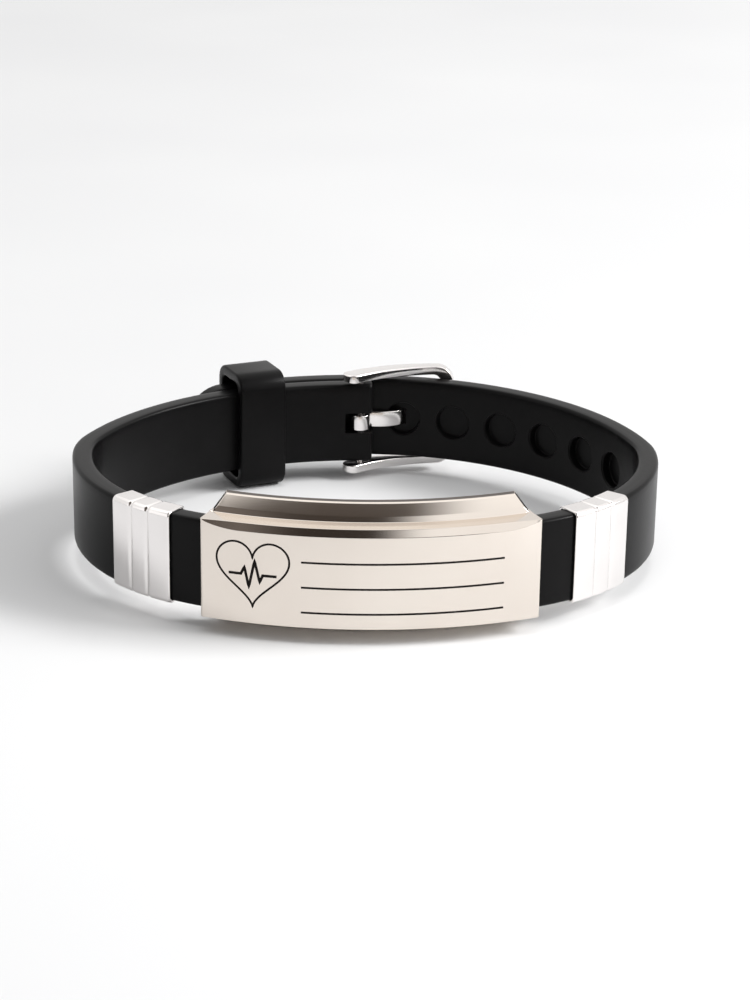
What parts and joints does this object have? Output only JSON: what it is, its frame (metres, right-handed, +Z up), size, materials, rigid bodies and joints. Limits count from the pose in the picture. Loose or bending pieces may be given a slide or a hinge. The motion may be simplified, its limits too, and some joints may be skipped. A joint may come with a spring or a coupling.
{
  "type": "medical alert bracelet",
  "caption": "Black silicone strap closed by a pin buckle and a keeper loop behind, with a curved steel identification plate and ribbed steel sliders in front.",
  "frame": {"origin": "on the floor under the middle of the bracelet's box", "axes": "+X along the identification plate to the viewer's right, +Y from the plate back towards the buckle, +Z up across the strap's width"},
  "size_m": [0.0806, 0.0708, 0.0178],
  "materials": {
    "silicone": "satin black silicone rubber",
    "plate_steel": "finely polished stainless steel",
    "bright_steel": "bright polished stainless steel"
  },
  "bodies": {
    "root": {"strap": "silicone", "id_plate": "plate_steel", "left_slider": "bright_steel", "right_slider": "bright_steel", "keeper_loop": "silicone", "buckle_frame": "bright_steel", "buckle_pin": "bright_steel", "buckle_tongue": "bright_steel"}
  },
  "joints": []
}
